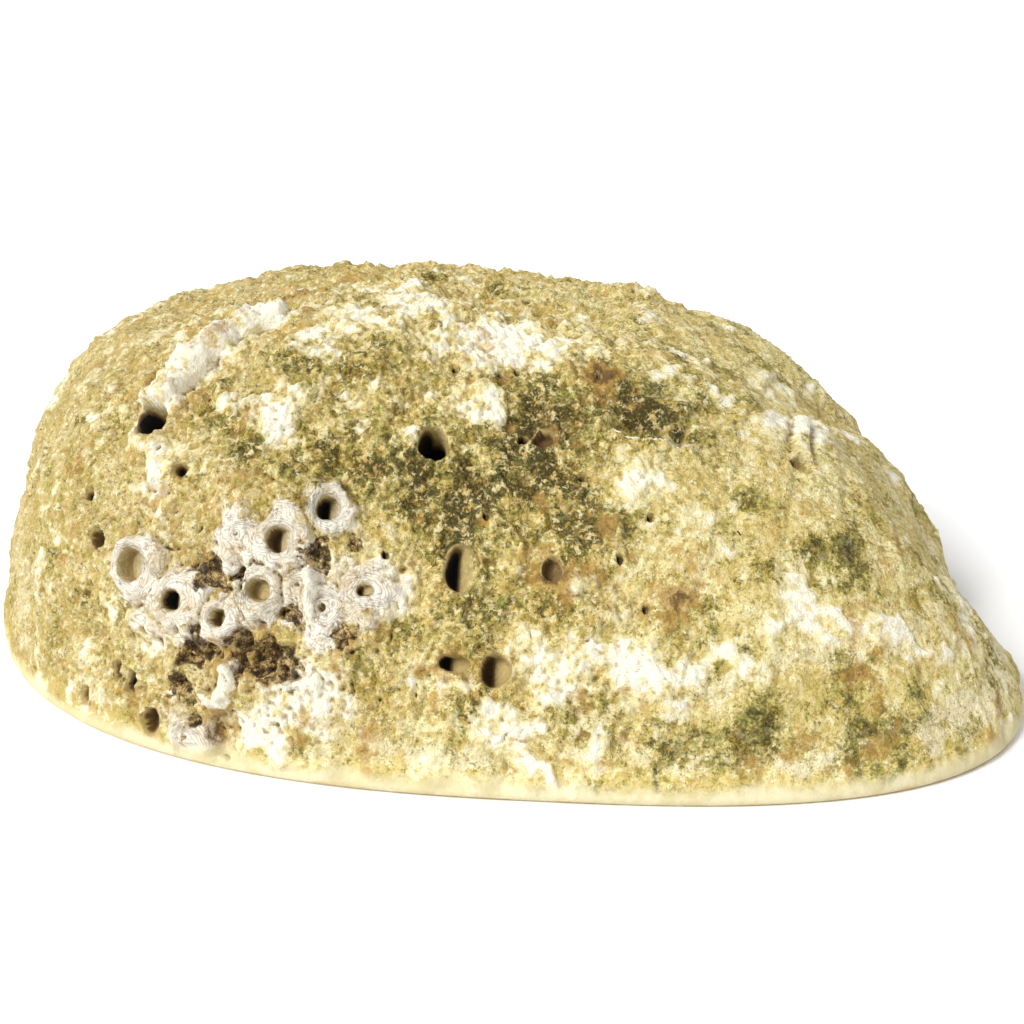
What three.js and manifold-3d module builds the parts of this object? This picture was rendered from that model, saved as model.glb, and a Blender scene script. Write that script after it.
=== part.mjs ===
// An old abalone shell, in millimetres. It lies mouth down on its margin, with +Z up.
// +X is the hind end, which carries the low spire, and -X is the front, where the shell grew.
// The row of breathing holes runs along the -Y side, and the flat inner lip along the +Y side.
import * as THREE from "three";
import { ParametricGeometry } from "three/addons/geometries/ParametricGeometry.js";
import { mergeVertices } from "three/addons/utils/BufferGeometryUtils.js";
import Module from "manifold-3d";

const wasm = await Module();
wasm.setup();

// Driving dimensions.
const HALF_LENGTH = 72.5; // from the middle to either end of the margin, before the lean
const HOLE_SIDE = 50.5; // from the long axis to the margin on the side of the breathing holes
const LIP_SIDE = 53.5; // from the long axis to the margin on the side of the inner lip
const LEAN = -0.25; // how far the outline shifts along X for each millimetre along Y
const HEIGHT = 49.5;
const CROWN = new THREE.Vector2(-3.5, 1.5); // the highest point, in plan
const CROWN_WALL = 5; // thickness of the shell under the crown
const MARGIN_WALL = 3.5; // thickness of the shell at its margin
const LIP_WIDTH = 10; // width of the flat inner lip on the margin of the +Y side
const EDGE = 1.2; // radius of the worn outer edge of the margin

// Resolution of the surfaces.
const MERIDIANS = 80; // slices round the crown
const OUTER_ROWS = 26; // rows from the crown to the margin, outside
const INNER_ROWS = 14; // rows from the margin to the crown, inside

// The margin's shape away from a plain ellipse, and its wear.
const HOLE_SIDE_FULLNESS = 2.6; // exponent of the superellipse, 2 is an ellipse
const LIP_SIDE_FULLNESS = 2.4;
const NOTCH = { x: -28.5, width: 1.6, depth: 1.8 }; // a chip in the margin on the -Y side
const SCALLOPS = { from: -22, to: 17, pitch: 6.5, depth: 0.6 }; // worn waves beside the chip

// The spire: a log spiral of whorls about the apex, low on the hind slope.
const APEX = new THREE.Vector2(49, 26);
const SUTURE_REACH = 26; // from the apex to where the last suture meets the margin
const WHORL_GROWTH = 3.2; // how much wider the spiral is after each turn
const WHORL_SWELL = 1.8; // height of a whorl above the sutures beside it

// Breathing holes from the oldest, at the hind end, to the youngest. Only the two youngest are
// open right through, the others were sealed or plugged as the shell grew.
const BREATHING_HOLES = [
  { x: 44, y: -17.5, bore: 1.2, collar: 3.4, rise: 1.4, depth: 1.6 },
  { x: 24, y: -23.5, bore: 2.6, collar: 4.6, rise: 1.2, depth: 1.6 },
  { x: 10.5, y: -23, bore: 1.9, collar: 3.6, rise: 0.9, depth: 2.2 },
  { x: -3.5, y: -25.5, bore: 2.4, collar: 3.8, rise: 0.9, depth: 12 },
  { x: -42.5, y: -19.5, bore: 2.8, collar: 4.4, rise: 1.2, depth: 14 },
];

// Borings of worms and sponges: blind, with hardly any collar.
const BORINGS = [
  { x: 1.5, y: -36, bore: 2.2, depth: 2.4 },
  { x: 6, y: -43, bore: 2.1, depth: 2 },
  { x: 0.5, y: -43, bore: 1.6, depth: 2 },
  { x: 12.5, y: -35.5, bore: 1.4, depth: 1.6 },
  { x: -51, y: -22, bore: 1.1, depth: 2 },
  { x: -48, y: -27.5, bore: 1.5, depth: 2 },
  { x: -36, y: -26.5, bore: 1.5, depth: 2 },
  { x: -38, y: -41.5, bore: 1.7, depth: 1.8 },
];

// Worm tubes that stand out of the crust near the margin: outer radius, bore and height.
const WORM_TUBES = [
  { x: -16, y: -32, radius: 3.5, bore: 1.9, rise: 1.6 },
  { x: -21.5, y: -34.5, radius: 3.8, bore: 2.1, rise: 1.8 },
  { x: -23.5, y: -38, radius: 3, bore: 1.8, rise: 1.8 },
  { x: -34.5, y: -37, radius: 4.4, bore: 1.8, rise: 1.6 },
  { x: -28.5, y: -39.5, radius: 3.1, bore: 1.5, rise: 1.4 },
  { x: -10.5, y: -38.5, radius: 3.8, bore: 1.4, rise: 1.4 },
  { x: -41, y: -32.5, radius: 4.6, bore: 2.6, rise: 1.6 },
];
const TUBE_SIDES = 10;
const ROOT = 3; // how far a tube is sunk into the shell that it grew on

// Crust that the worms left round their tubes, a low mound in plan.
const CRUST = { x: -26, y: -37, radius: 12, rise: 1.4 };
// A calcareous tube that lies along the front slope and ends beside the youngest hole.
const RIDGE = { from: [-32, -1], bend: [-38, -9], to: [-42.5, -17], radius: 2.6 };

const TURN = 2 * Math.PI;
const gauss = (distance, radius) => Math.exp(-((distance / radius) ** 2));
const signedPower = (value, power) => Math.sign(value) * Math.abs(value) ** power;

// A point of the margin in plan, with turn from 0 to 1 once round the shell.
function marginPoint(turn) {
  const cos = Math.cos(turn * TURN);
  const sin = Math.sin(turn * TURN);
  const holeSide = sin < 0;
  const power = 2 / (holeSide ? HOLE_SIDE_FULLNESS : LIP_SIDE_FULLNESS);
  const y = (holeSide ? HOLE_SIDE : LIP_SIDE) * signedPower(sin, power);
  const x = HALF_LENGTH * signedPower(cos, power) + LEAN * y;
  if (!holeSide) return new THREE.Vector2(x, y);
  const scalloped = x > SCALLOPS.from && x < SCALLOPS.to;
  const phase = Math.sin((Math.PI * (x - SCALLOPS.from)) / SCALLOPS.pitch) ** 2;
  const wear = NOTCH.depth * gauss(x - NOTCH.x, NOTCH.width) + (scalloped ? SCALLOPS.depth * phase : 0);
  return new THREE.Vector2(x, y + wear);
}

// How much of the ledge of the inner lip there is in a direction seen from the crown.
function lipShare(angle) {
  const middle = 1.4; // the lip is widest a little behind the middle of the +Y side
  const spread = 1;
  return Math.exp(-(((angle - middle) / spread) ** 4));
}

// The section of a dome from its top down to its foot, with t from 0 to 1. The two exponents of
// z = height (1 - r^shoulder)^slope depend on the direction: steep in front, gentle behind.
class DomeSection extends THREE.Curve {
  constructor(reach, height, foot, angle) {
    super();
    this.arcLengthDivisions = 400;
    this.reach = reach;
    this.height = height;
    this.foot = foot;
    this.shoulder = 2.6 - 0.45 * Math.cos(angle) + 0.6 * Math.sin(angle);
    const steepest = 0.36;
    const above = 0.15 + 0.09 * Math.cos(angle) - 0.38 * Math.sin(angle);
    this.slope = steepest + (above + Math.hypot(above, 0.04)) / 2; // never under steepest
  }

  getPoint(t, target = new THREE.Vector2()) {
    const phase = (t * Math.PI) / 2;
    const out = this.reach * Math.sin(phase) ** (2 / this.shoulder);
    const rise = Math.max(0, Math.cos(phase)) ** (2 * this.slope);
    return target.set(out, this.foot + (this.height - this.foot) * rise);
  }
}

// One closed section of the shell: down the outside, under the margin and up the inside.
function meridian(turn) {
  const away = marginPoint(turn).sub(CROWN);
  const reach = away.length();
  const angle = away.angle() > Math.PI * 1.5 ? away.angle() - TURN : away.angle();
  const wall = MARGIN_WALL + (LIP_WIDTH - MARGIN_WALL) * lipShare(angle);
  const outside = new DomeSection(reach, HEIGHT, EDGE, angle).getSpacedPoints(OUTER_ROWS);
  const inside = new DomeSection(reach - wall, HEIGHT - CROWN_WALL, 0, angle);
  const under = new THREE.Vector2(reach - EDGE, 0);
  const points = [...outside, under, ...inside.getSpacedPoints(INNER_ROWS).reverse()];
  const direction = away.normalize();
  return points.map(
    (point, row) => ({
      place: new THREE.Vector3(CROWN.x + direction.x * point.x, CROWN.y + direction.y * point.x, point.y),
      outer: row <= OUTER_ROWS,
      share: row <= OUTER_ROWS ? point.x / reach : 0, // 0 at the crown, 1 at the margin
    }),
  );
}

// The swelling of the whorls round the apex, which fades out beyond the last suture.
function spireRelief(x, y) {
  const across = x - APEX.x;
  const along = y - APEX.y;
  const distance = Math.max(0.5, Math.hypot(across, along));
  const clockwise = (Math.atan2(across, along) / TURN + 1) % 1; // from +Y by way of +X
  const turns = Math.log(distance / SUTURE_REACH) / Math.log(WHORL_GROWTH) - clockwise;
  const between = turns - Math.floor(turns); // 0 at one suture, 1 at the next one out
  const whorl = Math.sin(Math.PI * between) ** 0.7 - 0.6;
  const fade = 1 - THREE.MathUtils.smoothstep(distance, 0.9 * SUTURE_REACH, 1.4 * SUTURE_REACH);
  return WHORL_SWELL * whorl * fade * Math.min(1, distance / 8);
}

// Low swellings of the outside: collars of the breathing holes, crust and gentle lumps.
function outerRelief(x, y) {
  const collars = BREATHING_HOLES.reduce(
    (sum, hole) => sum + hole.rise * gauss(Math.hypot(x - hole.x, y - hole.y), hole.collar + 1), 0);
  const crust = CRUST.rise * gauss(Math.hypot(x - CRUST.x, y - CRUST.y), CRUST.radius);
  const lumps = 0.45 * Math.sin(0.21 * x + 0.9) * Math.sin(0.27 * y + 0.4) + 0.3 * Math.sin(0.36 * x - 0.31 * y);
  return collars + crust + lumps + spireRelief(x, y);
}

// Moves a point of the outside along the line from the middle of the shell's mouth.
function swell(point) {
  const outward = point.place.clone().sub(new THREE.Vector3(CROWN.x, CROWN.y / 2, -HEIGHT / 4)).normalize();
  const fade = 1 - THREE.MathUtils.smoothstep(point.share, 0.93, 1);
  point.place.addScaledVector(outward, fade * outerRelief(point.place.x, point.place.y));
}

function bodyGeometry() {
  const sections = [];
  for (let i = 0; i < MERIDIANS; i += 1) {
    const section = meridian(i / MERIDIANS);
    section.filter((point) => point.outer).forEach(swell);
    sections.push(section);
  }
  const rows = sections[0].length - 1;
  return new ParametricGeometry((u, v, target) => {
    // The sections are taken clockwise from above, so that the faces look outwards.
    const section = sections[(MERIDIANS - Math.round(u * MERIDIANS)) % MERIDIANS];
    const row = Math.round(v * rows);
    // Both poles are one point each, shared by all the sections.
    const shared = row === 0 || row === rows;
    target.copy((shared ? sections[0] : section)[row].place);
  }, MERIDIANS, rows);
}

// A closed three.js geometry as a solid, to be joined or cut.
function solidOf(geometry) {
  const bare = geometry.clone();
  for (const name of Object.keys(bare.attributes)) {
    if (name !== "position") bare.deleteAttribute(name);
  }
  const merged = mergeVertices(bare, 1e-3);
  const solid = new wasm.Manifold(
    new wasm.Mesh({
      numProp: 3,
      vertProperties: merged.attributes.position.array,
      triVerts: new Uint32Array(merged.index.array),
    }),
  );
  return solid;
}

const body = solidOf(bodyGeometry());
const raycaster = new THREE.Raycaster();
const bodyMesh = new THREE.Mesh(
  bodyGeometry(),
  new THREE.MeshStandardMaterial({ side: THREE.DoubleSide }),
);

// Where the outside lies above a point of the plan, and which way it faces there.
function seat(x, y) {
  raycaster.set(new THREE.Vector3(x, y, 2 * HEIGHT), new THREE.Vector3(0, 0, -1));
  const hit = raycaster.intersectObject(bodyMesh)[0];
  const away = new THREE.Vector3(x - CROWN.x, y - CROWN.y, 0).multiplyScalar(0.5);
  const normal = hit.face.normal.clone();
  if (normal.z < 0) normal.negate();
  return { place: hit.point, normal: normal.multiplyScalar(30).add(away).normalize() };
}

// Turns a geometry made along +Y so that it stands on the outside, offset along the normal.
function standOn(geometry, x, y, offset) {
  const { place, normal } = seat(x, y);
  const turn = new THREE.Quaternion().setFromUnitVectors(new THREE.Vector3(0, 1, 0), normal);
  const centre = place.clone().addScaledVector(normal, offset);
  return geometry.applyQuaternion(turn).translate(centre.x, centre.y, centre.z);
}

// A tapering worm tube: a lathed stub with a rounded rim, still without its bore.
function tubeStub({ radius, bore, rise }) {
  const rim = (radius - bore) / 2;
  const profile = new THREE.Path();
  profile.moveTo(0, -ROOT);
  profile.lineTo(radius * 1.25, -ROOT);
  profile.lineTo(radius, rise - rim);
  profile.absarc(radius - rim, rise - rim, rim, 0, Math.PI / 2, false);
  profile.lineTo(0, rise);
  return new THREE.LatheGeometry(profile.getPoints(2), TUBE_SIDES);
}

// The cutter of a round hole that is depth deep and reaches clear of any collar.
function boreCutter(radius, depth) {
  const clearance = 6;
  const cutter = new THREE.CylinderGeometry(radius, radius * 0.85, depth + clearance, TUBE_SIDES);
  return cutter.translate(0, (clearance - depth) / 2, 0);
}

// The calcareous tube on the front slope, half sunk into the shell.
function ridgeGeometry() {
  const points = [RIDGE.from, RIDGE.bend, RIDGE.to].map(([x, y]) => {
    const { place, normal } = seat(x, y);
    return place.addScaledVector(normal, -0.2 * RIDGE.radius);
  });
  const section = new THREE.Shape().absarc(0, 0, RIDGE.radius, 0, TURN, false);
  return new THREE.ExtrudeGeometry(section, {
    steps: 8,
    curveSegments: TUBE_SIDES / 2,
    extrudePath: new THREE.CatmullRomCurve3(points),
  });
}

function carvedShell() {
  let shell = body.add(solidOf(ridgeGeometry()));
  for (const tube of WORM_TUBES) {
    shell = shell.add(solidOf(standOn(tubeStub(tube), tube.x, tube.y, 0)));
  }
  const blindTubes = WORM_TUBES.map((tube) => ({ ...tube, depth: ROOT - 1 }));
  for (const hole of [...BREATHING_HOLES, ...BORINGS, ...blindTubes]) {
    shell = shell.subtract(solidOf(standOn(boreCutter(hole.bore, hole.depth), hole.x, hole.y, 0)));
  }
  return shell;
}

// Moves the solid so that the origin lies under the middle of its bounding box.
function centred(solid) {
  const { min, max } = solid.boundingBox();
  return solid.translate(-(min[0] + max[0]) / 2, -(min[1] + max[1]) / 2, 0);
}

function meshOf(solid, name, material) {
  const { vertProperties, triVerts } = solid.getMesh();
  const geometry = new THREE.BufferGeometry();
  geometry.setAttribute("position", new THREE.BufferAttribute(vertProperties, 3));
  geometry.setIndex(new THREE.BufferAttribute(triVerts, 1));
  geometry.computeVertexNormals();
  const mesh = new THREE.Mesh(geometry, material);
  mesh.name = name;
  return mesh;
}

const chalk = new THREE.MeshStandardMaterial({ color: 0xb9a878, roughness: 0.85, metalness: 0 });

const abalone = new THREE.Group();
abalone.add(meshOf(centred(carvedShell()), "shell", chalk));

export default abalone;
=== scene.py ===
"""An old, encrusted abalone shell that lies mouth down on a pale floor.

The form is worked out in millimetres from the same plan and section as the CAD model, in its frame:
+X is the hind end with the spire, -Y the side with the breathing holes, +Z up. The outside gets its
relief by moving each point along its normal, and what is left of each bore, lip and crust is coloured
from the same named places. Meshes are made in metres.
"""
import math
from dataclasses import dataclass
import bpy
import numpy as np
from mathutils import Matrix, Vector
from mathutils.kdtree import KDTree


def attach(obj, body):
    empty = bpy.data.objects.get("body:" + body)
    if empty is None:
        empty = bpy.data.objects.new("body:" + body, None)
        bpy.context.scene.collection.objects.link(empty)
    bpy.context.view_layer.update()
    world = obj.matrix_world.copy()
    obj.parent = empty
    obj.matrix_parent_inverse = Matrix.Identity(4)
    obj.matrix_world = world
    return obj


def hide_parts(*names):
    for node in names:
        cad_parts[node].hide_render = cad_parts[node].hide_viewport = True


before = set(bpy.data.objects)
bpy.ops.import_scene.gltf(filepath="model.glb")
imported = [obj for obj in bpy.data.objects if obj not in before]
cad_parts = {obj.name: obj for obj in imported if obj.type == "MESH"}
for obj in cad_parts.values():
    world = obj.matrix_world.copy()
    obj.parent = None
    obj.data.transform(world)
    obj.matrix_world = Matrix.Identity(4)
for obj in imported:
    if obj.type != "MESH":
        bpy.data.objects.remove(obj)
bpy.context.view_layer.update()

MM = 0.001

# ------------------------------------------------------------------ driving dimensions, in mm
HALF_LENGTH = 72.5  # from the middle of the plan to either end
HOLE_SIDE = 50.5  # from there to the margin on the side of the holes, and on the other side
LIP_SIDE = 53.5
LEAN = -0.25  # how far the plan is sheared along X for each mm of Y
HEIGHT = 49.5  # of the smooth form
CROWN = np.array((-3.5, 1.5))  # highest point, in plan
MIDDLE = np.array((0.136, 1.56, 0.0))  # of the form's box, where the CAD frame has its origin
CROWN_WALL = 5.0  # thickness at the crown and at the margin
MARGIN_WALL = 3.5
LIP_WIDTH = 10.0  # of the ledge inside the far margin
EDGE = 1.2  # radius of the rounded margin
HOLE_SIDE_FULLNESS = 2.6  # exponents of the plan: 2 is an ellipse, more is boxier
LIP_SIDE_FULLNESS = 2.4
FLANK = 62.0  # what lines and cords take for the way from the crown to the margin
APEX = np.array((49.0, 26.0))  # of the spire, in plan
SUTURE_REACH = 26.0  # from the apex to the last suture
WHORL_GROWTH = 3.2  # of the whorls' radius in one turn
WHORL_SWELL = 1.6  # how far the whorls stand out

# Resolution in mm: the side with the holes is seen from close by and gets the finer grid.
FINE = 0.25
COARSE = 0.75
INSIDE = 1.2
OUTER_SECTION = 74.0  # about the way from the crown to the margin on the side of the holes
INNER_SECTION = 70.0  # and about the same on the inside
CORNER_ROWS = 5  # rows of points round the corner of the margin, and along its underside
UNDER_ROWS = 8
SECTORS = 5  # the grid is made as this many closed pieces, as one would be too large

# ------------------------------------------------------------------ named places on the outside
@dataclass
class Bore:
    """A hole or boring in the outside. A worm tube has a wall as well."""

    at: tuple
    across: float  # half width and half height of the mouth
    along: float
    depth: float
    ramp: float = 0.0  # how far the floor rises towards +X, as a share of the depth
    rim: float = 0.35  # height of the rim round the mouth
    # dark and darkest set the painted shade in the bore: how fast it darkens downwards and how dark it
    # gets.
    dark: float = 1.0  # how fast it gets dark downwards
    darkest: float = 6.0  # how dark it gets: 2 is tan, 3 brown, 5 black
    wall: float = 0.0  # radius of the tube's layered wall
    rise: float = 0.0  # how high the tube stands


# Breathing holes and borings.
BORES = {
    "open_hole": Bore((-3.4, -26.2), 2.0, 2.5, depth=4.4, ramp=0.35, rim=0.7),
    "front_hole": Bore((-41.9, -19.8), 2.6, 2.4, depth=4.6, ramp=0.1, rim=0.8),
    "plugged_hole": Bore((10.4, -24.2), 1.4, 1.6, depth=1.8, rim=0.3, dark=2.6, darkest=3.3),
    "plug_pore": Bore((7.8, -24.2), 0.8, 1.0, depth=2.2, rim=0.1, dark=2.5),
    "sealed_cup": Bore((43.9, -19.6), 1.6, 1.3, depth=1.6, ramp=0.3, rim=0.4),
    "oval_bore": Bore((1.3, -36.7), 2.3, 3.2, depth=2.9, ramp=0.85, rim=0.45),
    "round_bore": Bore((6.0, -43.7), 1.9, 2.3, depth=2.8, ramp=0.3, rim=0.45, darkest=3.7),
    "lidded_bore": Bore((0.9, -43.4), 1.9, 1.2, depth=2.2, ramp=0.3, rim=0.5),
    "plugged_bore": Bore((12.4, -36.3), 1.4, 1.5, depth=1.4, dark=2.6, darkest=2.9),
    "left_bore": Bore((-47.8, -28.3), 1.4, 1.5, depth=2.2, ramp=0.4, rim=0.5, darkest=3.3),
    "left_pore": Bore((-50.4, -23.2), 0.9, 1.1, depth=1.8, ramp=0.1, rim=0.2),
    "patch_bore": Bore((-36.4, -26.9), 1.1, 1.0, depth=2.0, ramp=0.1, rim=0.0),
    "low_bore": Bore((-37.9, -42.1), 1.4, 2.0, depth=1.8, ramp=0.7, rim=0.7, darkest=3.4),
    "low_pore": Bore((-41.1, -39.4), 0.8, 1.8, depth=1.6, ramp=0.2, rim=0.3),
    "low_slit": Bore((-43.2, -38.1), 0.7, 1.5, depth=1.2, ramp=0.2, rim=0.2),
    "flank_slit": Bore((-48.9, -36.3), 0.8, 1.6, depth=1.0, ramp=0.2, rim=0.1),
}
# Pores a millimetre or less across, scattered over the dark middle and the crown.
PORES = [
    (24.2, -31.3), (15.5, -28.0), (3.8, -32.3), (4.1, -16.2), (6.2, -15.0), (-1.7, -15.8),
    (9.3, -0.5), (17.1, -14.6), (60.8, -20.7), (24.0, -38.8), (-8.4, -36.2), (20.6, -35.2),
]
# Worm tubes in the crust on the front flank.
TUBES = {
    "upper": Bore((-15.6, -32.9), 1.75, 1.6, depth=3.0, ramp=0.8, rise=1.2, wall=3.5),
    "shoulder": Bore((-21.1, -35.2), 1.7, 1.8, depth=2.6, ramp=0.85, rise=1.9, darkest=3.2, wall=4.5),
    "round": Bore((-23.3, -38.4), 1.5, 1.6, depth=2.0, ramp=0.4, rise=1.7, darkest=1.7, wall=3.4),
    "front": Bore((-34.3, -37.2), 1.5, 1.35, depth=2.8, ramp=0.6, rise=1.7, wall=4.9),
    "small": Bore((-28.2, -39.4), 1.05, 1.15, depth=1.9, ramp=0.3, rise=1.2, darkest=2.7, wall=3.3),
    "rusty": Bore((-10.3, -38.9), 1.1, 0.9, depth=1.1, ramp=0.4, rise=1.2, wall=3.9),
    "large": Bore((-40.9, -33.1), 2.1, 2.4, depth=2.2, ramp=0.7, rise=1.4, darkest=1.7, wall=4.4),
    "swirl": Bore((-32.6, -44.2), 0.4, 0.4, depth=0.5, rise=0.7, wall=3.2),
    "fold": Bore((-15.4, -40.0), 0.4, 0.6, depth=0.8, ramp=0.2, rise=1.1, wall=3.2),
    "knot": Bore((-26.6, -34.4), 0.3, 0.3, depth=0.3, rise=1.5, wall=3.6),
    "lobe": Bore((-18.6, -38.4), 0.3, 0.3, depth=0.3, rise=1.3, wall=3.2),
}
ALL_BORES = [
    *BORES.values(),
    *TUBES.values(),
    *(Bore(at, 0.5, 0.6, depth=1.3, rim=0.0, dark=2.2) for at in PORES),
]
# Gaps between the tubes, filled with dark dirt and crumbs: where, radius, depth.
GAPS = [
    ((-32.2, -40.3), 2.9, 1.9), ((-22.7, -42.3), 3.3, 1.9), ((-25.2, -41.6), 3.0, 1.8),
    ((-20.1, -43.2), 2.6, 1.4), ((-26.2, -37.4), 1.8, 1.3), ((-30.4, -36.2), 2.6, 1.1),
    ((-28.8, -44.9), 2.0, 1.6), ((-33.4, -41.8), 2.0, 1.3), ((-17.4, -36.2), 2.2, 0.8),
    ((-12.6, -41.8), 1.8, 0.7), ((-31.8, -43.9), 1.2, 1.0), ((-27.4, -38.0), 1.4, 0.8),
    ((-19.2, -40.2), 1.6, 0.8), ((-12.2, -35.6), 1.2, 0.6),
]
# Curved white lips of broken tubes: middle of the arc, radius, first and last angle in degrees from
# the shell's +X across the flank, and half width.
LIPS = [
    ((-30.0, -42.6), 3.0, -80, 70, 1.0), ((-14.4, -39.4), 2.4, 120, 250, 0.7),
    ((-19.3, -38.6), 2.4, -50, 70, 0.7), ((-30.6, -44.0), 2.8, 10, 120, 0.6),
]
# A calcareous tube that lies on the front slope and leads to the front hole, and shorter ones
# beside the oldest hole and above the upper tube: points in plan, radius.
RIDGES = [
    (((-28.6, -4.0), (-35.8, -9.4), (-41.2, -16.4)), 3.3),
    (((44.6, -9.5), (44.2, -14.0), (43.8, -18.4)), 1.4),
    (((-29.0, -29.4), (-25.0, -30.2), (-21.6, -31.6)), 0.9),
]
# The sealed hole: half width of its shelf, how far its edge curves down on the left and up on the
# right, how high it stands, and the depth of the hollow behind it.
SHELF = dict(at=(24.6, -23.6), across=6.4, drop=3.4, lift=1.6, rise=1.3, depth=2.6)
# Chips in the margin: where, half width and depth.
NOTCHES = [((-28.6, -46.2), 1.1, 1.4), ((-27.0, -46.6), 3.4, 0.8), ((70.4, -31.5), 1.1, 1.0)]
# Broad swells and dents of the dome: x, y, radius and height.
SWELLS = [
    (10.0, 9.0, 17.0, -2.6), (67.0, -8.0, 12.0, -3.4), (2.0, 9.0, 9.0, -1.2),
    (-44.0, 8.0, 16.0, -3.2), (-68.0, 2.0, 12.0, -1.5),
    (50.0, 4.0, 13.0, -2.3), (-10.0, -8.0, 9.0, 0.8), (-24.0, -13.0, 7.0, 0.6), (22.0, -28.0, 6.0, 0.7),
    (0.0, -38.0, 6.0, -0.5), (-22.0, -26.0, 5.0, 0.6), (-28.0, -38.0, 13.0, 0.8),
]
SCALLOPS = dict(start=-22.0, end=17.0, pitch=6.5, depth=0.6)  # worn waves of the margin

# Where each kind of cover lies: x, y, radius and strength. A negative one keeps it away.
COVER = {
    # White chalky crust.
    "chalk": [
        (-15.4, -45.5, 6.5, 1.0), (-24.0, -45.8, 4.0, 0.8), (-40.0, -25.0, 3.2, 1.0),
        (-46.4, -27.0, 2.6, 0.7), (-22.7, -24.8, 4.6, 0.8), (1.9, -20.8, 2.6, 0.8),
        (-6.0, -26.0, 1.8, 0.9),
        (3.0, -10.0, 6.5, 0.8), (-12.0, -3.0, 9.0, 0.7), (-36.0, -11.0, 4.5, 0.8),
        (-30.0, -6.0, 4.0, 0.6), (-22.0, -12.0, 4.0, 0.5), (12.0, 0.0, 10.0, 0.4),
        (19.0, -28.5, 3.6, 0.8), (23.5, -27.4, 3.6, 0.9),
        (30.0, -35.4, 3.6, 0.7), (47.0, -37.0, 5.0, 0.6), (57.0, -34.0, 5.0, 0.6),
        (37.0, -40.6, 4.6, 0.8), (24.0, -42.4, 4.4, 0.7), (10.0, -42.0, 3.6, 0.6),
        (30.0, -45.6, 4.0, 0.7), (8.0, -47.4, 5.0, 0.6), (-6.6, -38.5, 2.4, 0.9),
        (15.4, -37.6, 2.0, 0.7), (20.0, -47.0, 3.0, 0.4), (46.0, -10.0, 4.0, 0.5),
        (66.0, -18.0, 8.0, 0.35),
        (40.0, -15.0, 3.0, 0.4), (11.0, -28.0, 8.0, -0.9), (-4.0, -31.0, 6.0, -0.6),
        (2.0, -36.0, 5.0, -0.5), (45.0, -29.0, 7.0, -0.4), (44.0, -45.6, 8.0, -1.3),
        (54.0, -42.8, 7.0, -1.0), (30.0, -48.0, 5.0, -0.6), (18.0, -44.0, 5.0, 0.5),
        (-26.0, -30.0, 4.0, -0.5), (-28.0, -41.0, 5.0, -0.5), (21.0, -20.0, 5.0, -0.4),
    ],
    # Dark green and grey growth, with painted shade in the hollow behind the sealed hole's shelf.
    "green": [
        (11.0, -23.0, 7.0, 0.8), (8.0, -28.0, 6.5, 0.9), (2.0, -33.0, 5.0, 0.8),
        (-3.5, -31.0, 4.5, 0.5), (4.0, -39.4, 4.0, 0.8), (13.5, -38.8, 3.4, 0.7),
        (15.6, -34.0, 4.6, 0.6), (21.1, -19.1, 4.6, 0.8), (31.0, -21.4, 3.6, 0.6),
        (28.0, -25.0, 2.6, 0.5), (46.8, -29.6, 3.6, 0.8), (50.5, -28.6, 3.0, 0.4),
        (29.3, -38.8, 3.4, 0.6), (-20.0, -19.0, 6.5, 0.35), (-18.0, -29.0, 5.5, 0.3),
        (-10.0, -27.5, 5.0, 0.5), (17.1, -14.6, 3.2, 0.5), (32.0, -5.0, 8.0, 0.3),
        (44.5, -45.2, 5.5, 0.6), (53.0, -43.2, 4.6, 0.55), (36.0, -42.8, 2.4, 0.6),
        (22.0, -48.0, 5.0, 0.6), (4.0, -47.0, 3.6, 0.3), (64.0, -24.8, 4.0, 0.6),
        (-18.0, -22.0, 12.0, 0.3), (-14.0, -29.0, 8.0, 0.3), (-30.0, -22.0, 8.0, 0.3),
        (10.0, -28.0, 14.0, 0.25), (0.0, -44.0, 6.0, 0.3), (-36.0, -29.0, 4.0, 0.35),
        (26.0, -16.0, 8.0, 0.3),
        (-9.0, -15.0, 5.0, 0.4), (4.0, -15.8, 3.0, 0.4), (20.0, -31.6, 2.6, 0.6),
        (-46.0, -20.0, 3.0, 0.4), (-33.0, -20.0, 5.0, 0.3), (38.0, -27.0, 2.6, 0.4),
        # The spots at (23.4, -21.0) and (27.6, -21.6) are the strongest: they darken the hollow behind
        # the shelf as painted shade.
        (60.8, -20.7, 2.0, 0.8), (-12.0, -44.0, 4.0, 0.3), (23.4, -21.0, 3.0, 1.4),
        (27.6, -21.6, 2.0, 1.0),
        (-56.0, -16.0, 8.0, 0.2), (30.0, -47.4, 4.0, 0.5), (37.0, -46.6, 4.0, 0.5),
    ],
    # Brown stain.
    "stain": [
        (-37.0, -3.0, 5.0, 0.8), (-28.0, 4.0, 4.0, 0.7), (17.0, -14.6, 3.0, 0.8),
        (9.3, -0.5, 3.0, 0.7), (12.4, -36.3, 3.2, 0.9), (10.4, -24.2, 2.2, 0.9),
        (29.0, -38.5, 4.0, 0.6), (-24.0, -42.0, 4.6, 1.0), (-31.0, -38.0, 4.0, 0.5),
        (0.9, -43.2, 3.4, 0.5), (6.0, -43.7, 3.4, 0.5), (-10.3, -38.9, 2.0, 0.9),
        (-16.0, -43.0, 4.0, 0.4), (-52.0, -20.0, 6.0, 0.3), (16.0, -30.0, 5.0, 0.4),
        (3.8, -32.3, 1.6, 0.8), (44.0, -45.0, 4.0, 0.4), (70.0, -31.0, 2.6, 0.9),
        (-47.0, -30.0, 4.0, 0.3), (-43.0, -40.0, 4.0, 0.5), (-29.0, -45.0, 2.6, 1.0),
    ],
}


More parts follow.
